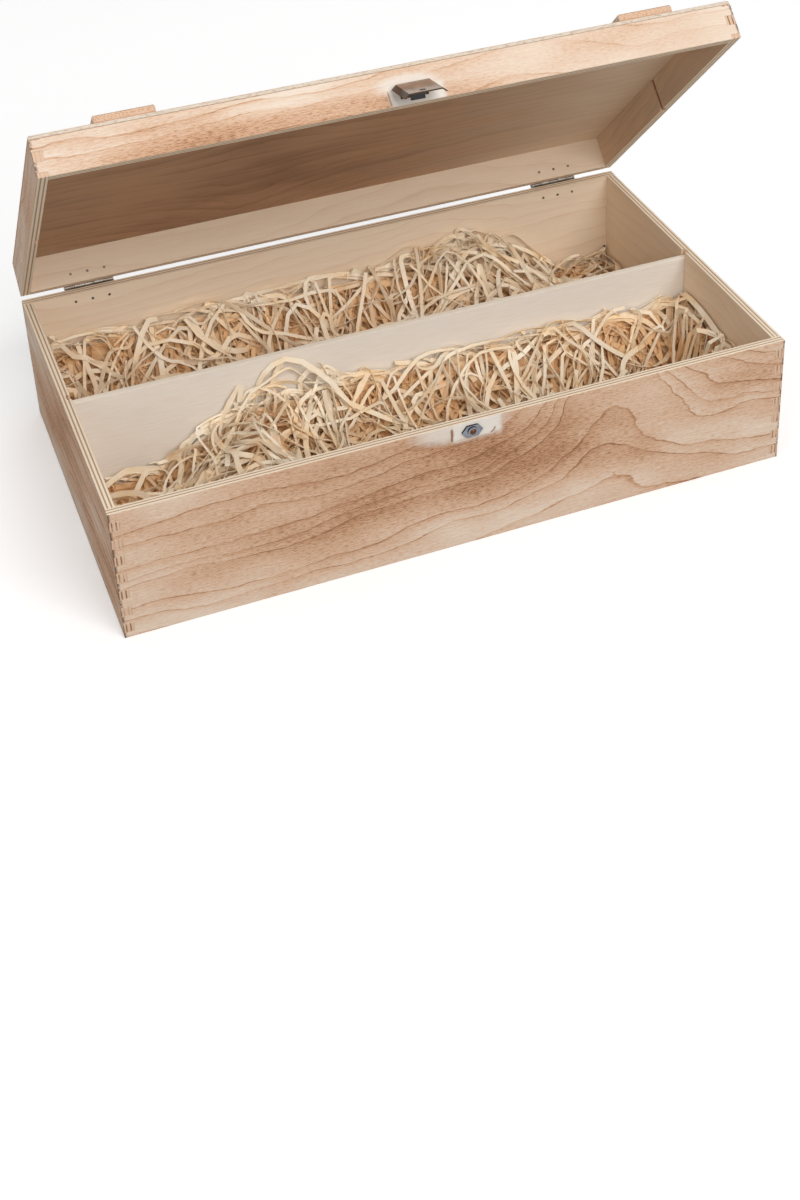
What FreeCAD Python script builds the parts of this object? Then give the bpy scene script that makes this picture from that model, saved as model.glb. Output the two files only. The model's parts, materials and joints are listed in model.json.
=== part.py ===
import FreeCAD
import Part
import Sketcher
import math
import os
import re

# A hinged plywood wine box, modelled with its lid and clasp standing open.
# The origin is the middle of the underside: +X to the right, +Y to the back, +Z up.
# Lengths are in millimetres and angles in degrees.
SIZES = {
    # Box
    "box_length": 350,
    "box_depth": 200,
    "base_height": 73,
    "lid_height": 20.5,
    "wall": 5,
    "sheet": 2.5,
    "sheet_round": 1.6,
    "rim_gap": 0.3,
    "lid_open_angle": 45,
    # Finger joints, cut through the whole box before the lid is sawn off
    "finger_first": 3,
    "finger_height": 5,
    "finger_pitch": 10,
    "finger_least": 0.5,
    "saw_kerf": 2.6,
    # Divider and its grooves
    "divider_thickness": 3.5,
    "divider_drop": 3.5,
    "groove_depth": 2.2,
    "groove_clearance": 0.2,
    # Battens across the lid
    "batten_width": 29,
    "batten_thickness": 4,
    "batten_inset": 30,
    "batten_setback": 2,
    "batten_round": 0.9,
    # Hinges on the outside of the back
    "hinge_width": 27,
    "hinge_inset": 23.5,
    "hinge_axis_offset": 2.3,
    "leaf_height": 9.5,
    "leaf_thickness": 0.8,
    "knuckle_radius": 2,
    "knuckle_gap": 0.2,
    "leaf_clearance": 0.3,
    "pin_radius": 1,
    "pin_clearance": 0.04,
    "pin_end_round": 0.25,
    # Nails of the hinges and the clasp
    "nail_radius": 0.7,
    "nail_head_radius": 1.5,
    "nail_head_height": 0.7,
    "nail_spacing": 9.2,
    "nail_drop": 5,
    "nail_tip": 0.4,
    # Keeper on the front
    "latch_offset": 3,
    "keeper_length": 11,
    "keeper_flat": 5.8,
    "keeper_height": 6.6,
    "keeper_thickness": 1,
    "keeper_drop": 5.2,
    "keeper_ring_radius": 2.6,
    "keeper_ring_height": 0.6,
    "keeper_nail_radius": 0.9,
    "keeper_head_radius": 1.7,
    "keeper_head_height": 0.9,
    # Clasp on the lid, drawn as it lies when shut
    "clasp_open_angle": 55,
    "clasp_axis_height": 7.5,
    "clasp_axis_stand": 2,
    "clasp_pin_radius": 0.7,
    "clasp_knuckle_radius": 1.2,
    "clasp_knuckle_width": 4,
    "bracket_width": 14,
    "bracket_height": 4.6,
    "bracket_metal": 0.7,
    "bracket_nail_spacing": 9,
    "bracket_nail_drop": 2.9,
    "bracket_nail_length": 5,
    "flap_width": 16.6,
    "flap_length": 18.4,
    "flap_overlap": 0.5,
    "flap_metal": 0.7,
    "flap_stand": 4.2,
    "flange_spread": 2.5,
    "flange_gap": 2,
    "slot_width": 2.6,
    "slot_height": 2.4,
    "slot_rise": 1.6,
    "spring_width": 7,
    "spring_side": 0.6,
    "spring_metal": 0.5,
    "spring_drop": 3.2,
    "lug_gap": 0.15,
    "ear_reach": 0.6,
    "hook_depth": 2.2,
    "hook_height": 1.2,
    # Wood wool, hollowed into a nest in each compartment and falling away at the nest's neck
    "wool_height": 36,
    "wool_low": 12,
    "wool_fall_start": 82,
    "wool_fall_end": 132,
    "wool_gap": 1,
    "wool_under_nest": 8,
    "nest_radius": 42,
    "nest_length": 316,
    "nest_body_length": 190,
    "nest_shoulder_length": 60,
    "nest_neck_radius": 17,
}
KNUCKLES = 5
NAILS_PER_LEAF = 3

document = FreeCAD.newDocument("WineBox")
sheet = document.addObject("Spreadsheet::Sheet", "Sizes")
for row, (size_name, size_value) in enumerate(SIZES.items(), 1):
    sheet.set(f"A{row}", size_name)
    sheet.set(f"B{row}", str(size_value))
    sheet.setAlias(f"B{row}", size_name)
document.recompute()


def formula(text):
    """Put the sheet's name before each of its sizes in a formula."""
    return re.sub(r"[a-z_]+", lambda word: "Sizes." + word[0] if word[0] in SIZES else word[0], text)


def value(text):
    """Work out a formula of the sheet's sizes now."""
    return float(sheet.evalExpression(formula(text)))


def bind(thing, **formulas):
    """Tie properties of an object to formulas of the sheet's sizes."""
    for property_name, text in formulas.items():
        thing.setExpression(property_name, formula(text))


def place(thing, x, y, z):
    """Tie an object's base point to formulas."""
    for axis, text in zip("xyz", (x, y, z)):
        thing.setExpression("Placement.Base." + axis, formula(text))


def box(name, x, y, z):
    """A box from the low and high formula of each direction."""
    thing = document.addObject("Part::Box", name)
    spans = [f"({high}) - ({low})" for low, high in (x, y, z)]
    bind(thing, Length=spans[0], Width=spans[1], Height=spans[2])
    place(thing, x[0], y[0], z[0])
    return thing


def rod(name, radius, x, y, z):
    """A round rod along X, from the low to the high formula in x."""
    thing = document.addObject("Part::Cylinder", name)
    thing.Placement.Rotation = FreeCAD.Rotation(FreeCAD.Vector(0, 1, 0), 90)
    bind(thing, Radius=radius, Height=f"({x[1]}) - ({x[0]})")
    place(thing, x[0], y, z)
    return thing


def join(name, things):
    """Several touching shapes as one solid."""
    thing = document.addObject("Part::MultiFuse", name)
    thing.Shapes = things
    thing.Refine = True
    return thing


def gather(name, things):
    """Several separate solids as one group."""
    thing = document.addObject("Part::Compound", name)
    thing.Links = things
    return thing


def cut(name, base, tools):
    """A shape with one or more others taken out of it."""
    for number, tool in enumerate(tools, 1):
        thing = document.addObject("Part::Cut", f"{name}_cut_{number}")
        thing.Base = base
        thing.Tool = tool
        thing.Refine = True
        base = thing
    return base


def rounded(name, base, radius, chosen):
    """A shape with the edges that a test picks rounded."""
    document.recompute()
    edges = [number for number, edge in enumerate(base.Shape.Edges, 1) if chosen(edge)]
    thing = document.addObject("Part::Fillet", name)
    thing.Base = base
    thing.Edges = [(number, radius, radius) for number in edges]
    return thing


def pin(name, radius, x, y, z):
    """A hinge pin along X with rounded ends."""
    end_round = value("pin_end_round")
    return rounded(name, rod(name + "_rod", radius, x, y, z), end_round,
                   lambda edge: edge.Curve.TypeId == "Part::GeomCircle")


def nail(name, x, z, face, inward, length, radius, head_radius, head_height):
    """A round-headed nail along Y, with its head on a face; inward is 1 towards +Y and -1 towards -Y."""
    shank = document.addObject("Part::Cylinder", name + "_shank")
    shank.Placement.Rotation = FreeCAD.Rotation(FreeCAD.Vector(1, 0, 0), -90 * inward)
    bind(shank, Radius=radius, Height=length)
    place(shank, x, face, z)
    ball = f"(({head_radius})^2 + ({head_height})^2) / (2 * {head_height})"
    head = document.addObject("Part::Sphere", name + "_head")
    head.Placement.Rotation = FreeCAD.Rotation(FreeCAD.Vector(1, 0, 0), 90 * inward)
    bind(head, Radius=ball, Angle1=f"asin(1 - {head_height} / ({ball}))")
    place(head, x, f"{face} + {inward} * ({ball} - {head_height})", z)
    return join(name, [shank, head])


# Each finished sub-part, by label
nodes = {}


def finish(label, thing, frame=None):
    """Name a finished sub-part, and swing it with the lid or the clasp if it rides on one."""
    thing.Label = label
    if frame:
        thing.setExpression("Placement", frame.Name + ".Placement")
    nodes[label] = thing


# Places that several sub-parts share
FRONT = "-box_depth / 2"
BACK = "box_depth / 2"
LID_RIM = "(base_height + rim_gap)"
LID_WALL_TOP = "(base_height + rim_gap + lid_height - sheet)"
LID_TOP = "(base_height + rim_gap + lid_height)"
HINGE_Y = "(box_depth / 2 + hinge_axis_offset)"
HINGE_Z = "(base_height + rim_gap / 2)"
CLASP_Y = "(-box_depth / 2 - clasp_axis_stand)"
CLASP_Z = "(base_height + rim_gap + clasp_axis_height)"


def swing_frame(name, y, z, angle, carrier=""):
    """A frame turned about an axis along X, on top of the frame that carries it."""
    frame = document.addObject("Part::LocalCoordinateSystem", name)
    turn = f"placement(vector(0; 0; 0); rotation(vector(1; 0; 0); {angle}); vector(0; {y}; {z}))"
    frame.setExpression("Placement", carrier + formula(turn))
    return frame


lid_frame = swing_frame("LidFrame", HINGE_Y, HINGE_Z, "-lid_open_angle")
clasp_frame = swing_frame("ClaspFrame", CLASP_Y, CLASP_Z, "-clasp_open_angle", "LidFrame.Placement * ")


def finger_levels(low, high, lift):
    """The numbers of the fingers that show between two heights."""
    pitch = value("finger_pitch")
    first = value(f"finger_first + {lift}")
    least = value("finger_least")
    start = max(0, math.ceil((value(low) - first - value("finger_height") + least) / pitch))
    stop = math.ceil((value(high) - first - least) / pitch)
    return range(start, stop)


def fingers(name, x, low, high, lift):
    """The fingers of one end wall as bars across the whole depth, cut off at the wall's two edges."""
    bars = []
    for level in finger_levels(low, high, lift):
        bottom = f"finger_first + {level} * finger_pitch + {lift}"
        z = (f"max({low}; {bottom})", f"min({high}; {bottom} + finger_height)")
        bars.append(box(f"{name}_{level}", x, (FRONT, BACK), z))
    return gather(name, bars)


def walls(labels, low, high, lift, frame=None, front_tools=(), back_tools=()):
    """Four walls with finger joints at the corners; the ends are grooved for the divider."""
    front_label, back_label, left_label, right_label = labels
    sides = {
        left_label: ("-box_length / 2", "-box_length / 2 + wall"),
        right_label: ("box_length / 2 - wall", "box_length / 2"),
    }
    all_fingers = []
    for label, x in sides.items():
        bars = fingers(label + "_fingers", x, low, high, lift)
        core = box(label + "_core", x, (f"{FRONT} + wall", f"{BACK} - wall"), (low, high))
        half_groove = "(divider_thickness / 2 + groove_clearance)"
        if label == left_label:
            groove_x = ("-box_length / 2 + wall - groove_depth", "-box_length / 2 + wall")
        else:
            groove_x = ("box_length / 2 - wall", "box_length / 2 - wall + groove_depth")
        groove = box(label + "_groove", groove_x, (f"-{half_groove}", half_groove), (low, high))
        finish(label, cut(label, join(label + "_joined", [core, *bars.Links]), [groove]), frame)
        all_fingers.append(bars)
    length = ("-box_length / 2", "box_length / 2")
    front = box(front_label + "_board", length, (FRONT, f"{FRONT} + wall"), (low, high))
    back = box(back_label + "_board", length, (f"{BACK} - wall", BACK), (low, high))
    finish(front_label, cut(front_label, front, [*all_fingers, *front_tools]), frame)
    finish(back_label, cut(back_label, back, [*all_fingers, *back_tools]), frame)


def hinge_span(side):
    """The low and high formula of a hinge's width."""
    if side == "left":
        low = "(-box_length / 2 + hinge_inset)"
    else:
        low = "(box_length / 2 - hinge_inset - hinge_width)"
    return low, f"({low} + hinge_width)"


def hinge_nails(name, side, z):
    """The row of nails through one leaf and the wall behind it."""
    low, high = hinge_span(side)
    row = []
    for number in range(NAILS_PER_LEAF):
        x = f"({low} + {high}) / 2 + ({number} - {(NAILS_PER_LEAF - 1) / 2}) * nail_spacing"
        row.append(nail(f"{name}_{side}_{number}", x, z, f"{BACK} + leaf_thickness", -1,
                        "leaf_thickness + wall + nail_tip", "nail_radius", "nail_head_radius",
                        "nail_head_height"))
    return row


def hinge_leaf(label, side, turn, knuckle_numbers, nails, frame=None):
    """A leaf on the back with its share of the knuckles; turn is 1 above the axis and -1 below."""
    low, high = hinge_span(side)
    pitch = f"hinge_width / {KNUCKLES}"
    plate_y = (BACK, f"{BACK} + leaf_thickness")
    near = f"{HINGE_Z} + {turn} * (knuckle_radius + leaf_clearance)"
    far = f"{HINGE_Z} + {turn} * leaf_height"
    shapes = [box(label + "_plate", (low, high), plate_y, (near, far) if turn > 0 else (far, near))]
    for number in knuckle_numbers:
        x = (f"{low} + {number} * {pitch} + knuckle_gap / 2",
             f"{low} + {number + 1} * {pitch} - knuckle_gap / 2")
        web_z = (HINGE_Z, near) if turn > 0 else (near, HINGE_Z)
        shapes.append(box(f"{label}_web_{number}", x, plate_y, web_z))
        shapes.append(rod(f"{label}_knuckle_{number}", "knuckle_radius", x, HINGE_Y, HINGE_Z))
    bore = rod(label + "_bore", "pin_radius + pin_clearance", (low, high), HINGE_Y, HINGE_Z)
    finish(label, cut(label, join(label + "_joined", shapes), [bore, gather(label + "_holes", nails)]), frame)


def hinges():
    """Two butt hinges: pins and lower leaves on the case, upper leaves on the lid."""
    base_nails = []
    lid_nails = []
    for side in ("left", "right"):
        lower = hinge_nails("base_nail", side, "base_height - nail_drop")
        upper = hinge_nails("lid_nail", side, f"{LID_RIM} + nail_drop")
        hinge_leaf(f"base_hinge_leaf_{side}", side, -1, range(0, KNUCKLES, 2), lower)
        hinge_leaf(f"lid_hinge_leaf_{side}", side, 1, range(1, KNUCKLES, 2), upper, lid_frame)
        finish(f"hinge_pin_{side}", pin(f"pin_{side}", "pin_radius", hinge_span(side), HINGE_Y, HINGE_Z))
        base_nails += lower
        lid_nails += upper
    finish("base_hinge_nails", gather("base_nails", base_nails))
    finish("lid_hinge_nails", gather("lid_nails", lid_nails), lid_frame)
    return base_nails, lid_nails


def keeper():
    """A six-sided plate with a raised ring, held to the front by one round-headed nail."""
    body = document.addObject("PartDesign::Body", "KeeperBody")
    plane = next(item for item in body.Origin.OriginFeatures if item.Role == "XZ_Plane")
    outline = body.newObject("Sketcher::SketchObject", "KeeperOutline")
    outline.AttachmentSupport = (plane, [""])
    outline.MapMode = "FlatFace"
    half_length = value("keeper_length / 2")
    half_flat = value("keeper_flat / 2")
    half_height = value("keeper_height / 2")
    corners = [
        FreeCAD.Vector(-half_length, 0, 0),
        FreeCAD.Vector(-half_flat, half_height, 0),
        FreeCAD.Vector(half_flat, half_height, 0),
        FreeCAD.Vector(half_length, 0, 0),
        FreeCAD.Vector(half_flat, -half_height, 0),
        FreeCAD.Vector(-half_flat, -half_height, 0),
    ]
    count = len(corners)
    for number in range(count):
        outline.addGeometry(Part.LineSegment(corners[number], corners[(number + 1) % count]))
    for number in range(count):
        outline.addConstraint(Sketcher.Constraint("Coincident", number, 2, (number + 1) % count, 1))
    for number in range(count // 2):
        outline.addConstraint(Sketcher.Constraint("Symmetric", number, 1, number + 3, 1, -1, 1))
    outline.addConstraint(Sketcher.Constraint("PointOnObject", 0, 1, -1))
    outline.addConstraint(Sketcher.Constraint("Symmetric", 1, 1, 1, 2, -2))
    sizes = {
        "keeper_length": Sketcher.Constraint("DistanceX", 0, 1, 3, 1, 2 * half_length),
        "keeper_flat": Sketcher.Constraint("DistanceX", 1, 1, 1, 2, 2 * half_flat),
        "keeper_height": Sketcher.Constraint("DistanceY", 4, 1, 1, 2, 2 * half_height),
    }
    for size_name, constraint in sizes.items():
        number = outline.addConstraint(constraint)
        outline.setExpression(f"Constraints[{number}]", formula(size_name))
    plate = body.newObject("PartDesign::Pad", "KeeperPlate")
    plate.Profile = outline
    bind(plate, Length="keeper_thickness")
    circle = body.newObject("Sketcher::SketchObject", "KeeperRing")
    circle.AttachmentSupport = (plane, [""])
    circle.MapMode = "FlatFace"
    ring_radius = value("keeper_ring_radius")
    circle.addGeometry(Part.Circle(FreeCAD.Vector(0, 0, 0), FreeCAD.Vector(0, 0, 1), ring_radius))
    circle.addConstraint(Sketcher.Constraint("Coincident", 0, 3, -1, 1))
    number = circle.addConstraint(Sketcher.Constraint("Radius", 0, ring_radius))
    circle.setExpression(f"Constraints[{number}]", formula("keeper_ring_radius"))
    ring = body.newObject("PartDesign::Pad", "KeeperBoss")
    ring.Profile = circle
    bind(ring, Length="keeper_thickness + keeper_ring_height")
    place(body, "latch_offset", FRONT, "base_height - keeper_drop")
    stack = "(keeper_thickness + keeper_ring_height)"
    stud = nail("keeper_stud", "latch_offset", "base_height - keeper_drop", f"({FRONT} - {stack})", 1,
                f"{stack} + wall", "keeper_nail_radius", "keeper_head_radius", "keeper_head_height")
    finish("keeper_plate", cut("keeper_plate", body, [stud]))
    finish("keeper_nail", stud)
    return stud


def clasp_bracket(nails):
    """A bent plate on the lid front whose two knuckles carry the clasp pin."""
    face = f"({FRONT} - bracket_metal)"
    half = "bracket_width / 2"
    top = f"{CLASP_Z} - clasp_pin_radius - pin_clearance"
    shelf = f"{CLASP_Z} - clasp_knuckle_radius"
    plate_x = (f"latch_offset - {half}", f"latch_offset + {half}")
    shapes = [box("bracket_plate", plate_x, (face, FRONT), (f"{CLASP_Z} - bracket_height", top))]
    for number, x in enumerate(((f"latch_offset - {half}", f"latch_offset - {half} + clasp_knuckle_width"),
                                (f"latch_offset + {half} - clasp_knuckle_width", f"latch_offset + {half}"))):
        shapes.append(box(f"bracket_shelf_{number}", x, (CLASP_Y, FRONT), (shelf, top)))
        shapes.append(rod(f"bracket_knuckle_{number}", "clasp_knuckle_radius", x, CLASP_Y, CLASP_Z))
    bore = rod("bracket_bore", "clasp_pin_radius + pin_clearance", plate_x, CLASP_Y, CLASP_Z)
    holes = gather("bracket_holes", nails)
    finish("clasp_bracket", cut("clasp_bracket", join("bracket_joined", shapes), [bore, holes]), lid_frame)
    finish("clasp_pin", pin("bracket_pin", "clasp_pin_radius", plate_x, CLASP_Y, CLASP_Z), lid_frame)


def clasp_nails():
    """Two nails that hold the bracket to the lid front."""
    pair = []
    for number, side in enumerate((-1, 1)):
        x = f"latch_offset + {side} * bracket_nail_spacing / 2"
        pair.append(nail(f"clasp_nail_{number}", x, f"{CLASP_Z} - bracket_nail_drop",
                         f"({FRONT} - bracket_metal)", 1, "bracket_nail_length", "nail_radius",
                         "nail_head_radius", "nail_head_height"))
    finish("clasp_nails", gather("clasp_nail_pair", pair), lid_frame)
    return pair


def channel(name, inset, low, high):
    """A bar with sloping sides, open towards the wood; inset draws it in by the metal's thickness."""
    thing = document.addObject("Part::Wedge", name)
    thing.Placement.Rotation = FreeCAD.Rotation(FreeCAD.Vector(0, 0, 1), 180)
    depth = "(flap_stand - flange_gap)"
    side = f"{inset} * sqrt(1 + (flange_spread / {depth})^2)"
    # The inner bar keeps the outer one's slope, so both meet at the same stand from the wood
    foot = f"(flap_width / 2 + flange_spread - {side})"
    crown = f"({foot} - flange_spread * ({depth} - {inset}) / {depth})"
    bind(thing, Xmin=f"-{foot}", Xmax=foot, X2min=f"-{crown}", X2max=crown, Ymin="0",
         Ymax=f"{depth} - {inset}", Zmin=low, Z2min=low, Zmax=high, Z2max=high)
    place(thing, "latch_offset", f"{FRONT} - flange_gap", "0")
    return thing


def clasp_flap():
    """A pressed plate with sloping side flanges, a slot by its free edge and a knuckle on the pin."""
    top = f"({CLASP_Z} + flap_overlap)"
    bottom = f"({CLASP_Z} + flap_overlap - flap_length)"
    inner_face = f"({FRONT} - flap_stand + flap_metal)"
    outer = channel("flap_outside", "0", bottom, top)
    inner = channel("flap_inside", "flap_metal", f"{bottom} - flap_metal", f"{top} + flap_metal")
    tray = cut("flap_tray", outer, [inner])
    half = "(bracket_width / 2 - clasp_knuckle_width - knuckle_gap)"
    x = (f"latch_offset - {half}", f"latch_offset + {half}")
    knuckle = rod("flap_knuckle", "clasp_knuckle_radius", x, CLASP_Y, CLASP_Z)
    web_z = (f"{CLASP_Z} - clasp_knuckle_radius", f"{CLASP_Z} - clasp_pin_radius - pin_clearance")
    web = box("flap_web", x, (inner_face, CLASP_Y), web_z)
    bore = rod("flap_bore", "clasp_pin_radius + pin_clearance", x, CLASP_Y, CLASP_Z)
    slot = box("flap_slot", ("latch_offset + spring_side - slot_width", "latch_offset + spring_side"),
               (f"{FRONT} - flap_stand", inner_face),
               (f"{bottom} + slot_rise", f"{bottom} + slot_rise + slot_height"))
    plate = join("flap_joined", [tray, knuckle, web])
    finish("clasp_flap", cut("clasp_flap", plate, [bore, slot]), clasp_frame)


def clasp_spring():
    """A spring tongue under the left half of the flap, held by a lug in the flap's slot.
    Its hook catches below the keeper."""
    outer_face = f"({FRONT} - flap_stand + flap_metal)"
    inner_face = f"({outer_face} + spring_metal)"
    bottom = f"({CLASP_Z} + flap_overlap - flap_length)"
    x = ("latch_offset - spring_side - spring_width", "latch_offset - spring_side")
    strip = box("spring_strip", x, (outer_face, inner_face), (bottom, f"{CLASP_Z} - spring_drop"))
    hook = box("spring_hook", x, (inner_face, f"{inner_face} + hook_depth"),
               (bottom, f"{bottom} + hook_height"))
    slot_left = "latch_offset + spring_side - slot_width"
    slot_right = "latch_offset + spring_side"
    slot_low = f"{bottom} + slot_rise"
    slot_high = f"{bottom} + slot_rise + slot_height"
    ear = box("spring_ear", (slot_left, f"{slot_right} + ear_reach"), (outer_face, inner_face),
              (f"{slot_low} - ear_reach", f"{slot_high} + ear_reach"))
    lug = box("spring_lug", (f"{slot_left} + lug_gap", f"{slot_right} - lug_gap"),
              (f"{FRONT} - flap_stand + lug_gap", outer_face),
              (f"{slot_low} + lug_gap", f"{slot_high} - lug_gap"))
    finish("clasp_spring", join("spring_joined", [strip, hook, ear, lug]), clasp_frame)


def sheets():
    """The sheet set between the walls, and the one glued on the lid with its upper edges rounded."""
    inner_x = ("-box_length / 2 + wall", "box_length / 2 - wall")
    inner_y = (f"{FRONT} + wall", f"{BACK} - wall")
    finish("bottom_panel", box("bottom_sheet", inner_x, inner_y, ("0", "sheet")))
    board = box("lid_sheet", ("-box_length / 2", "box_length / 2"), (FRONT, BACK), (LID_WALL_TOP, LID_TOP))
    top = value(LID_TOP)
    radius = value("min(sheet_round; 0.9 * sheet)")
    lid_top = rounded("lid_sheet_rounded", board, radius, lambda edge: edge.BoundBox.ZMin > top - radius)
    finish("lid_top", lid_top, lid_frame)


def divider():
    """The board between the two compartments, standing in the grooves of both ends."""
    reach = "(box_length / 2 - wall + groove_depth - groove_clearance)"
    half = "divider_thickness / 2"
    z = ("sheet", "base_height - divider_drop")
    finish("divider", box("divider_board", (f"-{reach}", reach), (f"-{half}", half), z))


def battens():
    """Two strips across the lid, front to back, with their upper edges rounded."""
    y = (f"{FRONT} + batten_setback", f"{BACK} - batten_setback")
    z = (LID_TOP, f"{LID_TOP} + batten_thickness")
    spans = {
        "batten_left": ("-box_length / 2 + batten_inset", "-box_length / 2 + batten_inset + batten_width"),
        "batten_right": ("box_length / 2 - batten_inset - batten_width", "box_length / 2 - batten_inset"),
    }
    radius = value("min(batten_round; 0.45 * batten_thickness)")
    low = value(LID_TOP)
    for label, x in spans.items():
        strip = box(label + "_strip", x, y, z)
        soft = rounded(label + "_rounded", strip, radius, lambda edge: edge.BoundBox.ZMax > low + radius)
        finish(label, soft, lid_frame)


def wool_fall(name, y, neck):
    """What the bedding lacks where it falls away along neck times X."""
    thing = document.addObject("Part::Wedge", name)
    thing.Placement.Rotation = FreeCAD.Rotation(FreeCAD.Vector(1, 0, 0), 90)
    far = "box_length / 2"
    if neck > 0:
        bind(thing, Xmin="wool_fall_end", Xmax=far, X2min="wool_fall_start", X2max=far)
    else:
        bind(thing, Xmin=f"-{far}", Xmax="-wool_fall_end", X2min=f"-{far}", X2max="-wool_fall_start")
    low, high = f"-({y[1]}) - wool_gap", f"-({y[0]}) + wool_gap"
    bind(thing, Ymin="sheet + wool_low", Ymax="sheet + wool_height")
    bind(thing, Zmin=low, Z2min=low, Zmax=high, Z2max=high)
    return thing


def wood_wool(label, y, neck):
    """Bedding in one compartment, with a nest that narrows to its neck along neck times X."""
    half = "(box_length / 2 - wall - wool_gap)"
    block = box(label + "_block", (f"-{half}", half), y, ("sheet", "sheet + wool_height"))
    bed = cut(label + "_bed", block, [wool_fall(label + "_fall", y, neck)])
    centre_y = f"({y[0]} + {y[1]}) / 2"
    centre_z = "sheet + wool_under_nest + nest_radius"
    stretches = {
        "body": ("0", "nest_body_length", "nest_radius", "nest_radius"),
        "shoulder": ("nest_body_length", "nest_body_length + nest_shoulder_length", "nest_radius",
                     "nest_neck_radius"),
        "neck": ("nest_body_length + nest_shoulder_length", "nest_length", "nest_neck_radius",
                 "nest_neck_radius"),
    }
    hollow = []
    for name, (start, stop, start_radius, stop_radius) in stretches.items():
        straight = start_radius == stop_radius
        piece = document.addObject("Part::Cylinder" if straight else "Part::Cone", f"{label}_{name}")
        piece.Placement.Rotation = FreeCAD.Rotation(FreeCAD.Vector(0, 1, 0), 90 * neck)
        bind(piece, Height=f"{stop} - ({start})")
        if straight:
            bind(piece, Radius=start_radius)
        else:
            bind(piece, Radius1=start_radius, Radius2=stop_radius)
        place(piece, f"{neck} * ({start} - nest_length / 2)", centre_y, centre_z)
        hollow.append(piece)
    finish(label, cut(label, bed, [join(label + "_hollow", hollow)]))


base_nails, lid_nails = hinges()
keeper_nail = keeper()
bracket_nails = clasp_nails()
clasp_bracket(bracket_nails)
clasp_flap()
clasp_spring()
walls(("front_panel", "back_panel", "left_end", "right_end"), "0", "base_height", "0",
      front_tools=[keeper_nail], back_tools=[gather("base_nail_holes", base_nails)])
walls(("lid_front", "lid_back", "lid_left_end", "lid_right_end"), LID_RIM, LID_WALL_TOP, "rim_gap - saw_kerf",
      lid_frame, front_tools=[gather("bracket_nail_holes", bracket_nails)],
      back_tools=[gather("lid_nail_holes", lid_nails)])
sheets()
divider()
battens()
wood_wool("wood_wool_front", (f"({FRONT} + wall + wool_gap)", "(-divider_thickness / 2 - wool_gap)"), -1)
wood_wool("wood_wool_rear", ("(divider_thickness / 2 + wool_gap)", f"({BACK} - wall - wool_gap)"), 1)
document.recompute()

for thing in document.Objects:
    if {"Invalid", "Error"} & set(thing.State):
        raise RuntimeError(f"{thing.Name} failed to build: {thing.State}")
for label, thing in nodes.items():
    if thing.Shape.isNull() or not thing.Shape.isValid():
        raise RuntimeError(f"{label} has no valid shape")

os.makedirs("parts", exist_ok=True)
for label, thing in nodes.items():
    thing.Shape.exportStep(f"parts/{label}.step")
    print(f"{label}: {len(thing.Shape.Solids)} solids, {thing.Shape.Volume:.1f} cubic mm")
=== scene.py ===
import json
import math
from types import SimpleNamespace

import bpy
from mathutils import Matrix, Vector


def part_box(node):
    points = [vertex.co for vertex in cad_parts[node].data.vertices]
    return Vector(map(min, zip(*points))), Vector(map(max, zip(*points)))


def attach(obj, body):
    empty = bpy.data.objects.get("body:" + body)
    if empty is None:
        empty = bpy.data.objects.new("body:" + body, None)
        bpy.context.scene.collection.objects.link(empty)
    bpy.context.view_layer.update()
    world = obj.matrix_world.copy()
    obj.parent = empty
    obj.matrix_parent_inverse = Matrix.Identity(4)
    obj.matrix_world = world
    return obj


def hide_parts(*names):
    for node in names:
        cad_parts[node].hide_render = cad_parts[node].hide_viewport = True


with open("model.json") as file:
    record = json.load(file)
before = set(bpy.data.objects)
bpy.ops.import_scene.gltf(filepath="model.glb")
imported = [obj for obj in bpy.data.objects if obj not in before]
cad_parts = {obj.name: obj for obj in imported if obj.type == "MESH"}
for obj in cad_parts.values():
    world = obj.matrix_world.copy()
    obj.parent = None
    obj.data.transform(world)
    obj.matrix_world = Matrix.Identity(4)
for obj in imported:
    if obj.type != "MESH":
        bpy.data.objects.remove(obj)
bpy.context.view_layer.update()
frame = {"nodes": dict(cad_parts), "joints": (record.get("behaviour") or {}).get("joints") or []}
nodes = frame["nodes"]

MM = 0.001

# Keeps where a point lies along and across, and drops its height
FLAT = (1.0, 1.0, 0.0)

# The lid stands open in the frame; SHUT_LID turns its points back to the shut box
lid_hinge = frame["joints"][0]
to_axis = Matrix.Translation(Vector(lid_hinge["pos_m"]))
lid_turn = Matrix.Rotation(math.radians(-lid_hinge["range_deg"][0]), 4, "X")
SHUT_LID = to_axis @ lid_turn @ to_axis.inverted()
STILL = Matrix.Identity(4)


def shut_box(name, shut):
    """The low and high corner of a CAD node in the shut box, in metres."""
    points = [shut @ vertex.co for vertex in nodes[name].data.vertices]
    low = Vector([min(point[axis] for point in points) for axis in range(3)])
    high = Vector([max(point[axis] for point in points) for axis in range(3)])
    return low, high


# Node helpers


def node(tree, kind, inputs=(), **settings):
    """A new node with its settings made and its inputs set or linked."""
    made = tree.nodes.new(kind)
    for name, setting in settings.items():
        setattr(made, name, setting)
    for key, given in dict(inputs).items():
        socket = made.inputs[key]
        if isinstance(given, bpy.types.NodeSocket):
            tree.links.new(given, socket)
        else:
            socket.default_value = given
    return made


def maths(tree, operation, *values, clamp=False):
    """One operation on numbers or sockets."""
    made = node(tree, "ShaderNodeMath", enumerate(values), operation=operation, use_clamp=clamp)
    return made.outputs[0]


def plus(tree, first, second, clamp=False):
    """A sum."""
    return maths(tree, "ADD", first, second, clamp=clamp)


def minus(tree, first, second):
    """A difference."""
    return maths(tree, "SUBTRACT", first, second)


def times(tree, first, second, clamp=False):
    """A product."""
    return maths(tree, "MULTIPLY", first, second, clamp=clamp)


def over(tree, first, second):
    """A quotient."""
    return maths(tree, "DIVIDE", first, second)


def squared(tree, given):
    """A number times itself."""
    return maths(tree, "POWER", given, 2.0)


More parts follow.
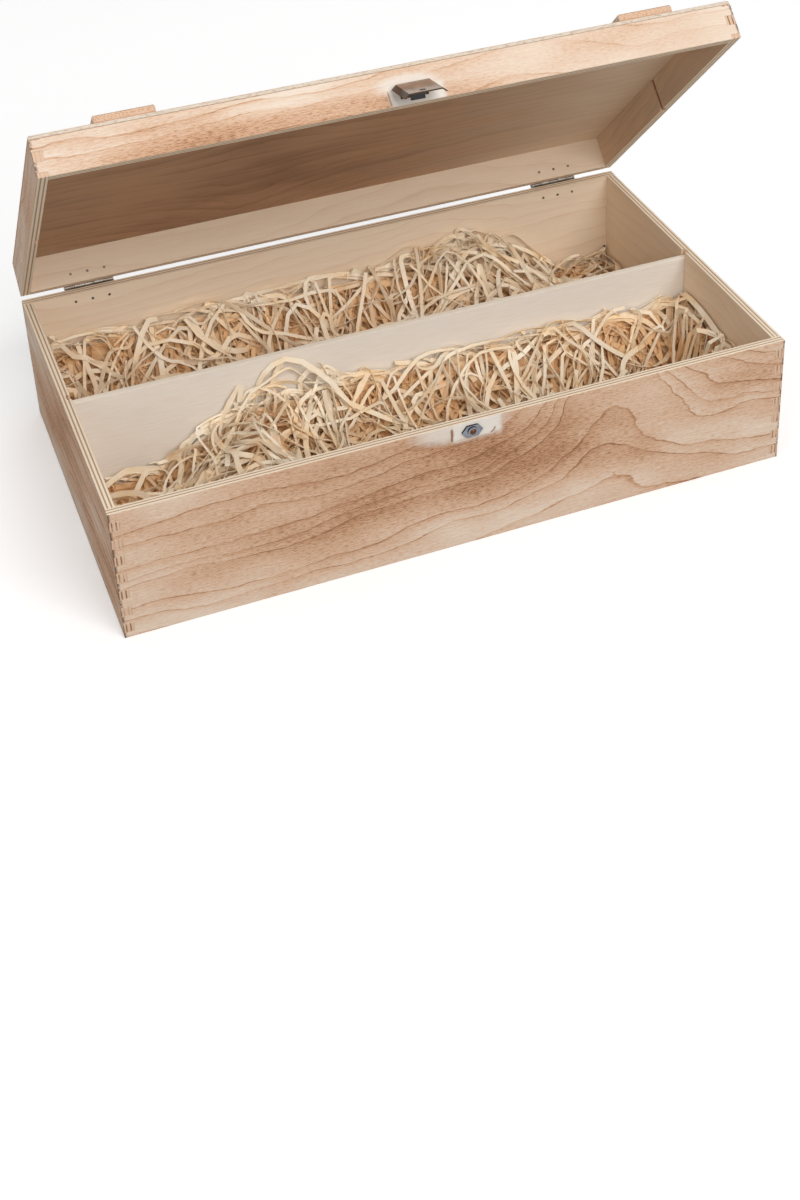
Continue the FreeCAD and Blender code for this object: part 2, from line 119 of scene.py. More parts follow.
def swing(tree, given, weight):
    """A noise value about 0.5, as a swing about 0 of a given weight."""
    return times(tree, minus(tree, given, 0.5), weight)


def vector_maths(tree, operation, *values):
    """One operation on vectors."""
    return node(tree, "ShaderNodeVectorMath", enumerate(values), operation=operation).outputs[0]


def stretched(tree, place, scale):
    """A place with each axis scaled."""
    return vector_maths(tree, "MULTIPLY", place, scale)


def length_of(tree, given):
    """A vector's length."""
    return node(tree, "ShaderNodeVectorMath", {0: given}, operation="LENGTH").outputs["Value"]


def parts(tree, given):
    """The three numbers of a vector."""
    return node(tree, "ShaderNodeSeparateXYZ", {0: given}).outputs


def vector(tree, x=0.0, y=0.0, z=0.0):
    """A vector from three numbers."""
    return node(tree, "ShaderNodeCombineXYZ", {0: x, 1: y, 2: z}).outputs[0]


def ease(tree, given, low, high):
    """A smooth step from 0 at low to 1 at high."""
    inputs = {"Value": given, "From Min": low, "From Max": high}
    return node(tree, "ShaderNodeMapRange", inputs, interpolation_type="SMOOTHSTEP").outputs[0]


def between(tree, given, low, high, soft):
    """1 between two limits, with soft borders."""
    up = ease(tree, given, low - soft, low + soft)
    return times(tree, up, ease(tree, given, high + soft, high - soft))


def mixed(tree, factor, first, second):
    """Two colours mixed."""
    inputs = {0: factor, 6: first, 7: second}
    return node(tree, "ShaderNodeMix", inputs, data_type="RGBA").outputs[2]


def noise(tree, place, scale=1.0, detail=2.0, roughness=0.5):
    """A noise value about 0.5."""
    inputs = {"Vector": place, "Scale": scale, "Detail": detail, "Roughness": roughness}
    return node(tree, "ShaderNodeTexNoise", inputs).outputs["Fac"]


def ramp(tree, given, stops):
    """A colour from a value, through stops of place and colour."""
    made = node(tree, "ShaderNodeValToRGB", {"Fac": given})
    elements = made.color_ramp.elements
    while len(elements) < len(stops):
        elements.new(0.5)
    for element, (place, shade) in zip(elements, stops):
        element.position = place
        element.color = shade
    return made.outputs["Color"]


def colour(red, green, blue):
    """A colour as it shows on a screen, from 0 to 255, as the renderer takes it."""
    linear = []
    for level in (red, green, blue):
        level /= 255
        linear.append(level / 12.92 if level <= 0.04045 else ((level + 0.055) / 1.055) ** 2.4)
    return (*linear, 1.0)


def new_material(name):
    """An empty material with its shader and its object coordinates."""
    material = bpy.data.materials.new(name)
    material.use_nodes = True
    tree = material.node_tree
    tree.nodes.clear()
    shader = node(tree, "ShaderNodeBsdfPrincipled")
    output = node(tree, "ShaderNodeOutputMaterial")
    tree.links.new(shader.outputs["BSDF"], output.inputs["Surface"])
    return material, tree, shader, node(tree, "ShaderNodeTexCoord")


EDGE_SEGMENTS = 2
WELD_GAP = 0.002 * MM
FLAT_ANGLE = math.radians(1)
SHARP_ANGLE = math.radians(35)


def dress(name, material, edge):
    """Give a CAD node its material and slightly rounded edges."""
    thing = nodes[name]
    thing.data.materials.clear()
    thing.data.materials.append(material)
    weld = thing.modifiers.new("weld", "WELD")
    weld.merge_threshold = WELD_GAP
    flatten = thing.modifiers.new("flatten", "DECIMATE")
    flatten.decimate_type = "DISSOLVE"
    flatten.angle_limit = FLAT_ANGLE
    bevel = thing.modifiers.new("edges", "BEVEL")
    bevel.width = edge
    bevel.segments = EDGE_SEGMENTS
    bevel.limit_method = "ANGLE"
    bevel.angle_limit = SHARP_ANGLE
    thing.modifiers.new("shading", "WEIGHTED_NORMAL")


# Plywood, with its patterns in millimetres

PALE_WOOD = colour(241, 224, 206)
LIGHT_WOOD = colour(226, 192, 164)
TAN_WOOD = colour(203, 156, 121)
BURNT_WOOD = colour(150, 105, 74)
RAW_WOOD = colour(248, 230, 206)
RAW_GRAIN = colour(224, 190, 157)
CREAM_PLY = colour(246, 232, 210)
CROSS_PLY = colour(190, 152, 118)
SCORCHED = colour(72, 48, 34)
ARRIS = colour(189, 132, 92)
DASH = colour(122, 92, 70)
FAINT_DASH = colour(172, 136, 108)
EDGE_GREY = colour(228, 214, 196)
FRESH_EDGE = colour(255, 245, 228)
SPARED_WOOD = colour(242, 236, 227)
# The two browns of painted shade on inner faces
PAINTED_SHADE_BROWN = colour(188, 144, 110)
INNER_SHADE = colour(136, 96, 68)
BURN_LINE = colour(140, 88, 46)

# The flamed face's colours by tone, and an edge's colours from the outer face, at 0, to the inner face
FLAMED_STOPS = ((0.0, PALE_WOOD), (0.3, LIGHT_WOOD), (0.62, TAN_WOOD), (1.0, BURNT_WOOD))
PLY_STOPS = (
    (0.0, ARRIS), (0.05, CREAM_PLY), (0.21, CREAM_PLY), (0.25, CROSS_PLY), (0.36, CROSS_PLY),
    (0.4, CREAM_PLY), (0.6, CREAM_PLY), (0.64, CROSS_PLY), (0.75, CROSS_PLY), (0.79, CREAM_PLY),
    (0.95, CREAM_PLY), (1.0, ARRIS))
DASH_STOPS = (
    (0.0, SCORCHED), (0.05, BURNT_WOOD), (0.1, LIGHT_WOOD), (0.21, LIGHT_WOOD), (0.25, DASH),
    (0.35, FAINT_DASH), (0.39, LIGHT_WOOD), (0.61, LIGHT_WOOD), (0.65, FAINT_DASH), (0.75, DASH),
    (0.79, LIGHT_WOOD), (0.96, LIGHT_WOOD), (1.0, TAN_WOOD))
WORN_EDGE_STOPS = ((0.0, TAN_WOOD), (0.2, EDGE_GREY), (0.8, EDGE_GREY), (1.0, BURNT_WOOD))
WORN_END_STOPS = ((0.0, BURNT_WOOD), (0.16, LIGHT_WOOD), (0.82, LIGHT_WOOD), (1.0, BURNT_WOOD))

# How fine each pattern is along the grain, across it and through the board
SLOW_WAVER = (0.009, 0.02, 1.0)
QUICK_WAVER = (0.035, 0.07, 1.0)
FAINT_LINES = (0.03, 0.05, 1.0)
BROAD_PATCHES = (0.012, 0.028, 1.0)
FIBRES = (0.07, 1.3, 1.3)
PORES = (0.32, 2.2, 2.2)
UNEVEN_RINGS = 0.07
DASH_PATCHES = 0.14
END_SPECKLE = 1.4
RAGGED_CORNER = 0.45

# Growth rings, their waver and the ridge that lifts them
RING_SPACING = 8.8
RING_CHANGE = 2.2
SLOW_REACH = 24.0
QUICK_REACH = 7.0
RIDGE_WIDTH = 42.0
RIDGE_FOOT = 0.05
RIDGE_GAIN = 0.0085

# Pairs of values at which a mark begins and is full
FACE_LIMITS = (0.45, 0.8)
INNER_LIMITS = (-0.45, -0.8)
END_GRAIN_LIMITS = (0.6, 0.8)
LINE_RISE = (0.88, 0.96)
LINE_FALL = (1.0, 0.975)
LINE_LIMITS = (0.3, 0.62)
PORE_LIMITS = (0.44, 0.7)
END_LIMITS = (2.0, 60.0)
FOOT_LIMITS = (2.0, 30.0)
TOAST_LIMITS = (0.22, 0.78)
SCORCH_LIMITS = (1.15, 0.5)
PAINTED_SHADE_LIMITS = (1.5, 0.3)
BROWN_TONE_LIMITS = (0.0, 0.75)
DASH_LIMITS = (0.42, 0.62)
SPECKLE_LIMITS = (0.45, 0.62)
CORNER_LIMITS = (1.6, 0.2)
RAGGED_LIMITS = (0.3, 0.52)

# What each mark adds to the tone of the flamed face and of the raw face
TOAST_TONE = 0.72
LATE_TONE = 0.18
LINE_TONE = 0.48
FIBRE_TONE = 0.5
PORE_TONE = 0.45
PALE_PORES = 0.3
TOASTED_PORES = 1.3
PORE_LEVEL = 0.15
SPARED_FIBRE_TONE = 0.7
RAW_LATE_TONE = 0.16
RAW_LINE_TONE = 0.2
RAW_FIBRE_TONE = 0.5
RAW_BROAD_TONE = 0.2
BROWN_BROAD_TONE = 1.1
FIBRE_LEVEL = 0.35
BROAD_LEVEL = 0.45

# How strong each mark is
UNBROKEN_LINE = 0.6
PORES_IN_LINE = 0.6
RAGGED_SCORCH = 0.7
LEAST_TOAST = 0.37
MORE_TOAST = 0.42
END_SHARE = 0.5
PATCHY_TOAST = 0.75
PLY_WAVER = 0.05
DASH_FADING = 0.75
EDGE_PORES = 0.6
SPECKLE_SHARE = 0.6
CORNER_SHARE = 0.85

BOARD_ROUND = 0.25 * MM
BOARD_GLOSS = 0.15
BOARD_ROUGHNESS = 0.8
FIBRE_POLISH = 0.2
LINE_SUNK = -0.5
BUMP_STRENGTH = 0.25
BUMP_HEIGHT = 0.15 * MM


def grain(tree, given):
    """The marks in a board's wood that its faces share, and where on the board they lie."""
    wood = SimpleNamespace()
    wood.along, wood.across, wood.depth = parts(tree, given["Position"])
    wood.to_end = minus(tree, given["Half length"], maths(tree, "ABSOLUTE", wood.along))
    place = vector_maths(tree, "ADD", given["Position"], given["Shift"])
    flat = stretched(tree, place, FLAT)

    # Growth rings: contour lines of a sloping field with a ridge in it and a slow waver
    off_ridge = over(tree, minus(tree, wood.along, given["Ridge"]), RIDGE_WIDTH)
    crest = over(tree, 1.0, plus(tree, 1.0, squared(tree, off_ridge)))
    growth = plus(tree, RIDGE_FOOT, times(tree, wood.across, RIDGE_GAIN))
    lift = times(tree, times(tree, crest, growth), given["Ridge height"])
    slow = noise(tree, stretched(tree, flat, SLOW_WAVER), detail=1.0)
    quick = noise(tree, stretched(tree, flat, QUICK_WAVER))
    waver = plus(tree, times(tree, slow, SLOW_REACH), times(tree, quick, QUICK_REACH))
    field = plus(tree, minus(tree, wood.across, lift), waver)
    uneven = noise(tree, vector(tree, field, given["Ridge"]), UNEVEN_RINGS, detail=1.0)
    rings = plus(tree, over(tree, field, RING_SPACING), times(tree, uneven, RING_CHANGE))
    phase = maths(tree, "FRACT", rings)
    wood.late = squared(tree, phase)
    line = times(tree, ease(tree, phase, *LINE_RISE), ease(tree, phase, *LINE_FALL))
    faint = noise(tree, stretched(tree, flat, FAINT_LINES), detail=1.0)
    line = times(tree, line, ease(tree, faint, *LINE_LIMITS))

    # Fibres and short dark pores along the grain, which break up the ring lines
    wood.fibres = noise(tree, stretched(tree, place, FIBRES), detail=3.0, roughness=0.6)
    pores = noise(tree, stretched(tree, place, PORES), detail=3.0, roughness=0.7)
    wood.pores = ease(tree, pores, *PORE_LIMITS)
    wood.line = times(tree, line, plus(tree, UNBROKEN_LINE, times(tree, wood.pores, PORES_IN_LINE)))

    # Broad patches, and how far a point lies from the middle of the scorched part and of the painted shade
    wood.broad = noise(tree, stretched(tree, flat, BROAD_PATCHES))
    away = vector_maths(tree, "SUBTRACT", given["Position"], given["Scorch place"])
    away = vector_maths(tree, "DIVIDE", stretched(tree, away, FLAT), given["Scorch size"])
    wood.away = plus(tree, length_of(tree, away), swing(tree, wood.broad, RAGGED_SCORCH))
    return wood


def flamed_face(tree, given, wood):
    """The outer face: the flame lingered in the middle of the board, less at its ends and its foot."""
    ends = ease(tree, wood.to_end, *END_LIMITS)
    foot = ease(tree, wood.across, *FOOT_LIMITS)
    lingered = plus(tree, times(tree, ends, END_SHARE), foot)
    lingered = plus(tree, LEAST_TOAST, times(tree, lingered, MORE_TOAST))
    scorch = times(tree, ease(tree, wood.away, *SCORCH_LIMITS), given["Scorch"])
    toast = times(tree, ease(tree, wood.broad, *TOAST_LIMITS), lingered)
    toast = plus(tree, times(tree, toast, PATCHY_TOAST), scorch)
    tone = times(tree, toast, TOAST_TONE)
    tone = plus(tree, tone, times(tree, wood.late, LATE_TONE))
    tone = plus(tree, tone, times(tree, wood.line, LINE_TONE))
    tone = plus(tree, tone, swing(tree, wood.fibres, FIBRE_TONE))
    speckled = plus(tree, PALE_PORES, times(tree, toast, TOASTED_PORES))
    speckled = times(tree, speckled, PORE_TONE)
    tone = plus(tree, tone, times(tree, minus(tree, wood.pores, PORE_LEVEL), speckled))
    lean = times(tree, over(tree, wood.along, given["Half length"]), given["Flame lean"])
    tone = times(tree, tone, plus(tree, given["Flame"], lean))
    flamed = ramp(tree, tone, FLAMED_STOPS)
    spared_tone = times(tree, minus(tree, wood.fibres, FIBRE_LEVEL), SPARED_FIBRE_TONE, clamp=True)
    spared = mixed(tree, spared_tone, SPARED_WOOD, LIGHT_WOOD)
    flamed = mixed(tree, given["Imprint"], flamed, spared)
    return mixed(tree, given["Burn"], flamed, BURN_LINE)


def inner_face(tree, given, wood):
    """The raw inner face, darkened to brown along the grain round a given middle as painted shade."""
    tone = plus(tree, times(tree, wood.late, RAW_LATE_TONE), times(tree, wood.line, RAW_LINE_TONE))
    tone = plus(tree, tone, times(tree, minus(tree, wood.fibres, FIBRE_LEVEL), RAW_FIBRE_TONE))
    tone = plus(tree, tone, times(tree, wood.broad, RAW_BROAD_TONE), clamp=True)
    raw = mixed(tree, tone, RAW_WOOD, RAW_GRAIN)
    patches = times(tree, minus(tree, wood.broad, BROAD_LEVEL), BROWN_BROAD_TONE)
    brown_tone = ease(tree, plus(tree, tone, patches), *BROWN_TONE_LIMITS)
    brown = mixed(tree, brown_tone, PAINTED_SHADE_BROWN, INNER_SHADE)
    painted_shade_mask = times(tree, ease(tree, wood.away, *PAINTED_SHADE_LIMITS), given["Inner brown"])
    return mixed(tree, painted_shade_mask, raw, brown)


def sawn_edges(tree, given, wood, end_grain):
    """The edges: five plies with the cross plies darker and the arrises scorched, or a plain worn edge."""
    layer = over(tree, times(tree, wood.depth, -1.0), given["Thickness"])
    rough_layer = plus(tree, layer, swing(tree, wood.fibres, PLY_WAVER))
    plies = ramp(tree, rough_layer, PLY_STOPS)
    dashes = ramp(tree, rough_layer, DASH_STOPS)
    fade = ease(tree, noise(tree, given["Position"], DASH_PATCHES), *DASH_LIMITS)
    fade = maths(tree, "MAXIMUM", times(tree, fade, DASH_FADING), given["Dash fade"])
    dashes = mixed(tree, fade, dashes, LIGHT_WOOD)
    edges = mixed(tree, end_grain, plies, dashes)

    worn_edge = ramp(tree, rough_layer, WORN_EDGE_STOPS)
    worn_edge = mixed(tree, times(tree, wood.pores, EDGE_PORES), worn_edge, BURNT_WOOD)
    worn_edge = mixed(tree, given["Imprint"], worn_edge, FRESH_EDGE)
    speckle = noise(tree, given["Position"], END_SPECKLE, roughness=0.7)
    speckle = times(tree, ease(tree, speckle, *SPECKLE_LIMITS), SPECKLE_SHARE)
    worn_end = mixed(tree, speckle, ramp(tree, layer, WORN_END_STOPS), ARRIS)
    worn_edge = mixed(tree, end_grain, worn_edge, worn_end)
    return mixed(tree, given["Plain edge"], edges, worn_edge)


def plywood_group():
    """The shading of one board: flamed outside, raw inside with painted shade where asked, and plies on
    its edges.
    Position is in millimetres: x along the grain, y across it, z outwards from 0 on the outer face."""
    tree = bpy.data.node_groups.new("plywood", "ShaderNodeTree")
    inputs = {
        "Vector": ("Position", "Normal", "Shift", "Scorch place", "Scorch size"),
        "Float": ("Thickness", "Half length", "Flame", "Flame lean", "Imprint", "Burn", "Ridge",
                  "Ridge height", "Inner brown", "Dash fade", "Plain edge", "Scorch"),
    }
    for kind, names in inputs.items():
        for name in names:
            tree.interface.new_socket(name, in_out="INPUT", socket_type="NodeSocket" + kind)
    for name, kind in (("Color", "Color"), ("Roughness", "Float"), ("Height", "Float")):
        tree.interface.new_socket(name, in_out="OUTPUT", socket_type="NodeSocket" + kind)
    given = node(tree, "NodeGroupInput").outputs
    facing = parts(tree, given["Normal"])
    outside = ease(tree, facing[2], *FACE_LIMITS)
    inside = ease(tree, facing[2], *INNER_LIMITS)
    end_grain = ease(tree, maths(tree, "ABSOLUTE", facing[0]), *END_GRAIN_LIMITS)

    wood = grain(tree, given)
    edges = sawn_edges(tree, given, wood, end_grain)
    shade = mixed(tree, inside, edges, inner_face(tree, given, wood))
    shade = mixed(tree, outside, shade, flamed_face(tree, given, wood))
    ragged = ease(tree, noise(tree, given["Position"], RAGGED_CORNER), *RAGGED_LIMITS)
    corner = times(tree, ease(tree, wood.to_end, *CORNER_LIMITS), ragged)
    corner = times(tree, corner, outside)
    shade = mixed(tree, times(tree, corner, CORNER_SHARE), shade, SCORCHED)
    height = plus(tree, wood.fibres, times(tree, wood.line, LINE_SUNK))
    roughness = minus(tree, BOARD_ROUGHNESS, times(tree, wood.fibres, FIBRE_POLISH))
    node(tree, "NodeGroupOutput", {"Color": shade, "Roughness": roughness, "Height": height})
    return tree


PLYWOOD = plywood_group()

# Axes of a board that faces a way: the rows are its grain, its width and its outward direction
FACING = {
    "front": ((1, 0, 0), (0, 0, 1), (0, -1, 0)),
    "back": ((-1, 0, 0), (0, 0, 1), (0, 1, 0)),
    "left": ((0, -1, 0), (0, 0, 1), (-1, 0, 0)),
    "right": ((0, 1, 0), (0, 0, 1), (1, 0, 0)),
    "down": ((1, 0, 0), (0, -1, 0), (0, 0, -1)),
    "up": ((1, 0, 0), (0, 1, 0), (0, 0, 1)),
    "batten": ((0, 1, 0), (-1, 0, 0), (0, 0, 1)),
}

# How uneven, soft and strong the clasp's marks and the painted highlight beside them are
MARK_WAVER = 0.3
MARK_WAVER_REACH = 2.4
PATCH_SOFT_X = 2.0
PATCH_SOFT_Y = 2.2
PAINTED_HIGHLIGHT_LIMITS = (1.2, 0.2)
PAINTED_HIGHLIGHT_SHARE = 0.8
BURN_WAVER = 0.25
BURN_SOFT_X = 0.4
BURN_SOFT_Y = 0.8
BURN_SHARE = 0.9
ARC_HALF = 0.4
ARC_SOFT = 0.35
ARC_RIGHT = (0.0, 1.5)
ARC_BELOW = (0.5, -1.0)


def clasp_marks(tree, place, patch_x, patch_y, painted_highlight_place, painted_highlight_reach, line_x, line_y, line_half,
                arc_centre=None, arc_radius=0.0):
    """What a clasp left on the wood while it was flamed: a spared patch, a burnt line down its left
    border, and a burnt arc; and a painted highlight, soft and pale, round one side of the patch."""
    x, y = parts(tree, place)[:2]
    uneven = swing(tree, noise(tree, place, MARK_WAVER), MARK_WAVER_REACH)
    uneven_x = plus(tree, x, uneven)
    uneven_y = plus(tree, y, uneven)
    patch = times(tree, between(tree, uneven_x, *patch_x, PATCH_SOFT_X),
                  between(tree, uneven_y, *patch_y, PATCH_SOFT_Y))
    away_x = over(tree, minus(tree, uneven_x, painted_highlight_place[0]), painted_highlight_reach[0])
    away_y = over(tree, minus(tree, uneven_y, painted_highlight_place[1]), painted_highlight_reach[1])
    away = plus(tree, squared(tree, away_x), squared(tree, away_y))
    painted_highlight = times(tree, ease(tree, away, *PAINTED_HIGHLIGHT_LIMITS), PAINTED_HIGHLIGHT_SHARE)
    # The painted highlight lightens the wood as the spared patch does.
    patch = maths(tree, "MAXIMUM", patch, painted_highlight)

    slight_x = plus(tree, x, times(tree, uneven, BURN_WAVER))
    line = between(tree, slight_x, line_x - line_half, line_x + line_half, BURN_SOFT_X)
    line = times(tree, line, between(tree, y, *line_y, BURN_SOFT_Y))
    burn = times(tree, line, BURN_SHARE)
    if arc_centre:
        away_x = minus(tree, x, arc_centre[0])
        away_y = minus(tree, y, arc_centre[1])
        away = maths(tree, "SQRT", plus(tree, squared(tree, away_x), squared(tree, away_y)))
        ring = between(tree, away, arc_radius - ARC_HALF, arc_radius + ARC_HALF, ARC_SOFT)
        quarter = times(tree, ease(tree, away_x, *ARC_RIGHT), ease(tree, away_y, *ARC_BELOW))
        arc = times(tree, times(tree, ring, quarter), BURN_SHARE)
        burn = maths(tree, "MAXIMUM", burn, arc)
    return patch, burn


def board(name, facing, shut, marks=None, **finish):
    """Give a board its plywood, laid out along its own grain. The finish names the plywood's inputs."""
    rows = Matrix(FACING[facing])
    low, high = shut_box(name, shut)
    out = rows[2]
    outer_face = max(out.dot(low), out.dot(high)) / MM
    finish["thickness"] = abs(out.dot(high - low)) / MM
    finish["half_length"] = abs(rows[0].dot(high - low)) / 2 / MM
    finish.setdefault("scorch_size", (1, 1, 1))
    angles = (rows @ shut.to_3x3()).to_euler("XYZ")
    move = rows @ shut.translation / MM - Vector((0, 0, outer_face))

    material, tree, shader, coordinates = new_material("plywood_" + name)
    laid = {"Vector": coordinates.outputs["Object"], "Location": move, "Rotation": angles,
            "Scale": (1 / MM, 1 / MM, 1 / MM)}
    place = node(tree, "ShaderNodeMapping", laid).outputs[0]
    turned = {"Vector": coordinates.outputs["Normal"], "Rotation": angles}
    normal = node(tree, "ShaderNodeMapping", turned, vector_type="VECTOR").outputs[0]
    plywood = node(tree, "ShaderNodeGroup", node_tree=PLYWOOD)
    tree.links.new(place, plywood.inputs["Position"])
    tree.links.new(normal, plywood.inputs["Normal"])
    for key, given in finish.items():
        plywood.inputs[key.capitalize().replace("_", " ")].default_value = given
    if marks:
        patch, burn = clasp_marks(tree, place, **marks)
        tree.links.new(patch, plywood.inputs["Imprint"])
        tree.links.new(burn, plywood.inputs["Burn"])
    relief = {"Height": plywood.outputs["Height"], "Strength": BUMP_STRENGTH, "Distance": BUMP_HEIGHT}
    bump = node(tree, "ShaderNodeBump", relief)
    tree.links.new(plywood.outputs["Color"], shader.inputs["Base Color"])
    tree.links.new(plywood.outputs["Roughness"], shader.inputs["Roughness"])
    tree.links.new(bump.outputs["Normal"], shader.inputs["Normal"])
    shader.inputs["Specular IOR Level"].default_value = BOARD_GLOSS
    dress(name, material, BOARD_ROUND)


# The clasp's spared patch and burns on the case and on the lid, with a painted highlight beside them,
# measured from the keeper's middle and from the floor
keeper_low, keeper_high = shut_box("keeper_plate", STILL)
LATCH = (keeper_low.x + keeper_high.x) / 2 / MM
CASE_MARKS = {
    "patch_x": (LATCH - 10.4, LATCH + 15.5), "patch_y": (63, 90),
    "painted_highlight_place": (LATCH - 6, 71), "painted_highlight_reach": (27, 9),
    "line_x": LATCH - 10.4, "line_y": (63.8, 71), "line_half": 0.6,
    "arc_centre": (LATCH + 9, 66.8), "arc_radius": 3,
}
LID_MARKS = {
    "patch_x": (LATCH - 12, LATCH + 15), "patch_y": (60, 82),
    "painted_highlight_place": (LATCH - 2, 83), "painted_highlight_reach": (17, 6),
    "line_x": LATCH - 12.2, "line_y": (74, 81), "line_half": 0.25,
}

board("front_panel", "front", STILL, CASE_MARKS, flame=1.0, flame_lean=0.14, ridge=77, ridge_height=78,
      scorch=0.42, scorch_place=(-20, 50, 0), scorch_size=(135, 30, 1))
board("back_panel", "back", STILL, flame=0.9, shift=(900, 300, 0), ridge=-60, ridge_height=20)
# The left end's heavier flame is partly painted shade, darkening the outer face turned away from the
# light.
board("left_end", "left", STILL, flame=1.35, flame_lean=0.25, shift=(300, 700, 0), ridge=400)
board("right_end", "right", STILL, flame=0.9, shift=(1500, 40, 0), ridge=-40, ridge_height=16)
board("bottom_panel", "down", STILL, flame=0.5, shift=(2100, 500, 0))
board("divider", "front", STILL, flame=0.05, shift=(2700, 900, 0), ridge=30, ridge_height=10,
      imprint=0.95, plain_edge=1.0)
board("lid_front", "front", SHUT_LID, LID_MARKS, flame=0.7, flame_lean=-0.3, shift=(400, 210, 0),
      ridge=60, ridge_height=14, scorch=0.5, scorch_place=(-45, 74, 0), scorch_size=(110, 9, 1))
# The lid boards' inner faces carry painted shade in brown, deepest on the lid top.
board("lid_back", "back", SHUT_LID, flame=0.8, shift=(3300, 100, 0), ridge=-60, ridge_height=20,
      inner_brown=0.12, scorch_place=(0, 80, 0), scorch_size=(200, 60, 1))
board("lid_left_end", "left", SHUT_LID, flame=0.8, shift=(300, 730, 0), ridge=400, dash_fade=0.85)
board("lid_right_end", "right", SHUT_LID, flame=0.8, shift=(1500, 40, 0), ridge=-40, ridge_height=16,
      inner_brown=0.5, scorch_place=(0, 80, 0), scorch_size=(150, 60, 1))
board("lid_top", "up", SHUT_LID, flame=0.75, shift=(4000, 0, 0), ridge=-50, ridge_height=60,
      plain_edge=1.0, scorch=0.1, inner_brown=0.9, scorch_place=(-60, 0, 0), scorch_size=(190, 500, 1))
board("batten_left", "batten", SHUT_LID, flame=0.7, shift=(5000, 300, 0), plain_edge=1.0)
board("batten_right", "batten", SHUT_LID, flame=0.7, shift=(5600, 900, 0), plain_edge=1.0)

# Metals

METAL_PATCHES = 160.0
PATCH_LIMITS = (0.35, 0.7)
# Where the painted dark edge of a plate, standing in for shade and dark reflections, begins and is full
PAINTED_RIM_LIMITS = (0.8, 0.97)
POLISH_CHANGE = 0.12
# Darker nickel patches, painted reflection of the brown wood round the clasp
NICKEL_DARK_REFLECTION = colour(122, 100, 86)


def metal(name, members, base, wear_and_reflection, roughness, edge, metallic=1.0, painted_rim=None):
    """A polished metal with slow patches of a second shade, and where asked a painted dark edge where a
    plate turns from its face, standing in for shade and dark reflections.
    """
    material, tree, shader, coordinates = new_material(name)
    patches = noise(tree, coordinates.outputs["Object"], METAL_PATCHES)
    shade = mixed(tree, ease(tree, patches, *PATCH_LIMITS), base, wear_and_reflection)
    if painted_rim:
        face = max(nodes[members[0]].data.polygons, key=lambda polygon: polygon.area).normal
        turned = node(tree, "ShaderNodeVectorMath", {0: coordinates.outputs["Normal"], 1: face},
                      operation="DOT_PRODUCT").outputs["Value"]
        shade = mixed(tree, ease(tree, maths(tree, "ABSOLUTE", turned), *PAINTED_RIM_LIMITS), painted_rim, shade)
    polish = plus(tree, roughness, swing(tree, patches, POLISH_CHANGE))
    tree.links.new(shade, shader.inputs["Base Color"])
    tree.links.new(polish, shader.inputs["Roughness"])
    shader.inputs["Metallic"].default_value = metallic
    for member in members:
        dress(member, material, edge)


metal("hinge_steel",
      ["base_hinge_leaf_left", "base_hinge_leaf_right", "lid_hinge_leaf_left", "lid_hinge_leaf_right",
       "hinge_pin_left", "hinge_pin_right"],
      colour(98, 90, 82), colour(128, 121, 113), roughness=0.32, edge=0.12 * MM)
metal("nail_steel", ["base_hinge_nails", "lid_hinge_nails"],
      colour(128, 118, 108), colour(152, 143, 134), roughness=0.35, edge=0.08 * MM)
# The nickel's brown tint is painted reflection of the brown wood round it, and the flap's dark edges are
# painted shade and reflection.
metal("clasp_nickel", ["clasp_flap"],
      colour(158, 136, 120), NICKEL_DARK_REFLECTION, roughness=0.16, edge=0.22 * MM, painted_rim=colour(74, 58, 48))
metal("bracket_nickel", ["clasp_bracket", "clasp_pin", "clasp_nails"],
      colour(152, 130, 114), NICKEL_DARK_REFLECTION, roughness=0.24, edge=0.22 * MM)
metal("spring_black", ["clasp_spring"],
      colour(20, 20, 22), colour(30, 29, 30), roughness=0.42, edge=0.1 * MM, metallic=0.3)
# The keeper's dark edges and ring slopes are painted shade and reflection.
metal("keeper_steel", ["keeper_plate"],
      colour(118, 121, 130), colour(136, 139, 147), roughness=0.2, edge=0.18 * MM, painted_rim=colour(44, 42, 44))
metal("keeper_bronze", ["keeper_nail"],
      colour(74, 51, 36), colour(92, 65, 46), roughness=0.2, edge=0.08 * MM)

# Wood wool

SLOW_TONE = 70.0
SLOW_SHARE = 0.8
FINE_TONE = 900.0
FINE_SHARE = 0.2
WOOL_LIMITS = (0.35, 0.68)
# Where the painted shade low in the wool begins and is full, by how far a ribbon stands above the bed
DEPTH_LIMITS = (0.75, 0.0)
WOOL_ROUGHNESS = 0.6
WOOL_GLOSS = 0.3


def wool_material(name, light, dark, depth):
    """Pale shavings with slow changes of tone, warmer low down as painted shade, standing in for shade and
    for light that comes through the wood.
    """
    material, tree, shader, coordinates = new_material(name)
    slow = noise(tree, coordinates.outputs["Object"], SLOW_TONE)
    fine = noise(tree, coordinates.outputs["Object"], FINE_TONE)
    tone = plus(tree, times(tree, slow, SLOW_SHARE), times(tree, fine, FINE_SHARE))
    shade = mixed(tree, ease(tree, tone, *WOOL_LIMITS), light, dark)
    rise = node(tree, "ShaderNodeAttribute", attribute_name="rise").outputs["Fac"]
    shade = mixed(tree, ease(tree, rise, *DEPTH_LIMITS), shade, depth)
    tree.links.new(shade, shader.inputs["Base Color"])
    shader.inputs["Roughness"].default_value = WOOL_ROUGHNESS
    shader.inputs["Specular IOR Level"].default_value = WOOL_GLOSS
    return material


# The last colour of each wool material is painted shade, warm and low in the wool; the sunken core takes
# it all over.
SHAVING = wool_material("wood_wool_shavings", colour(255, 243, 222), colour(252, 226, 188),
                        colour(240, 198, 148))
WOOL_IN_PAINTED_SHADE = wool_material("wood_wool_painted_shade", colour(246, 212, 166), colour(230, 186, 134),
                          colour(238, 196, 146))

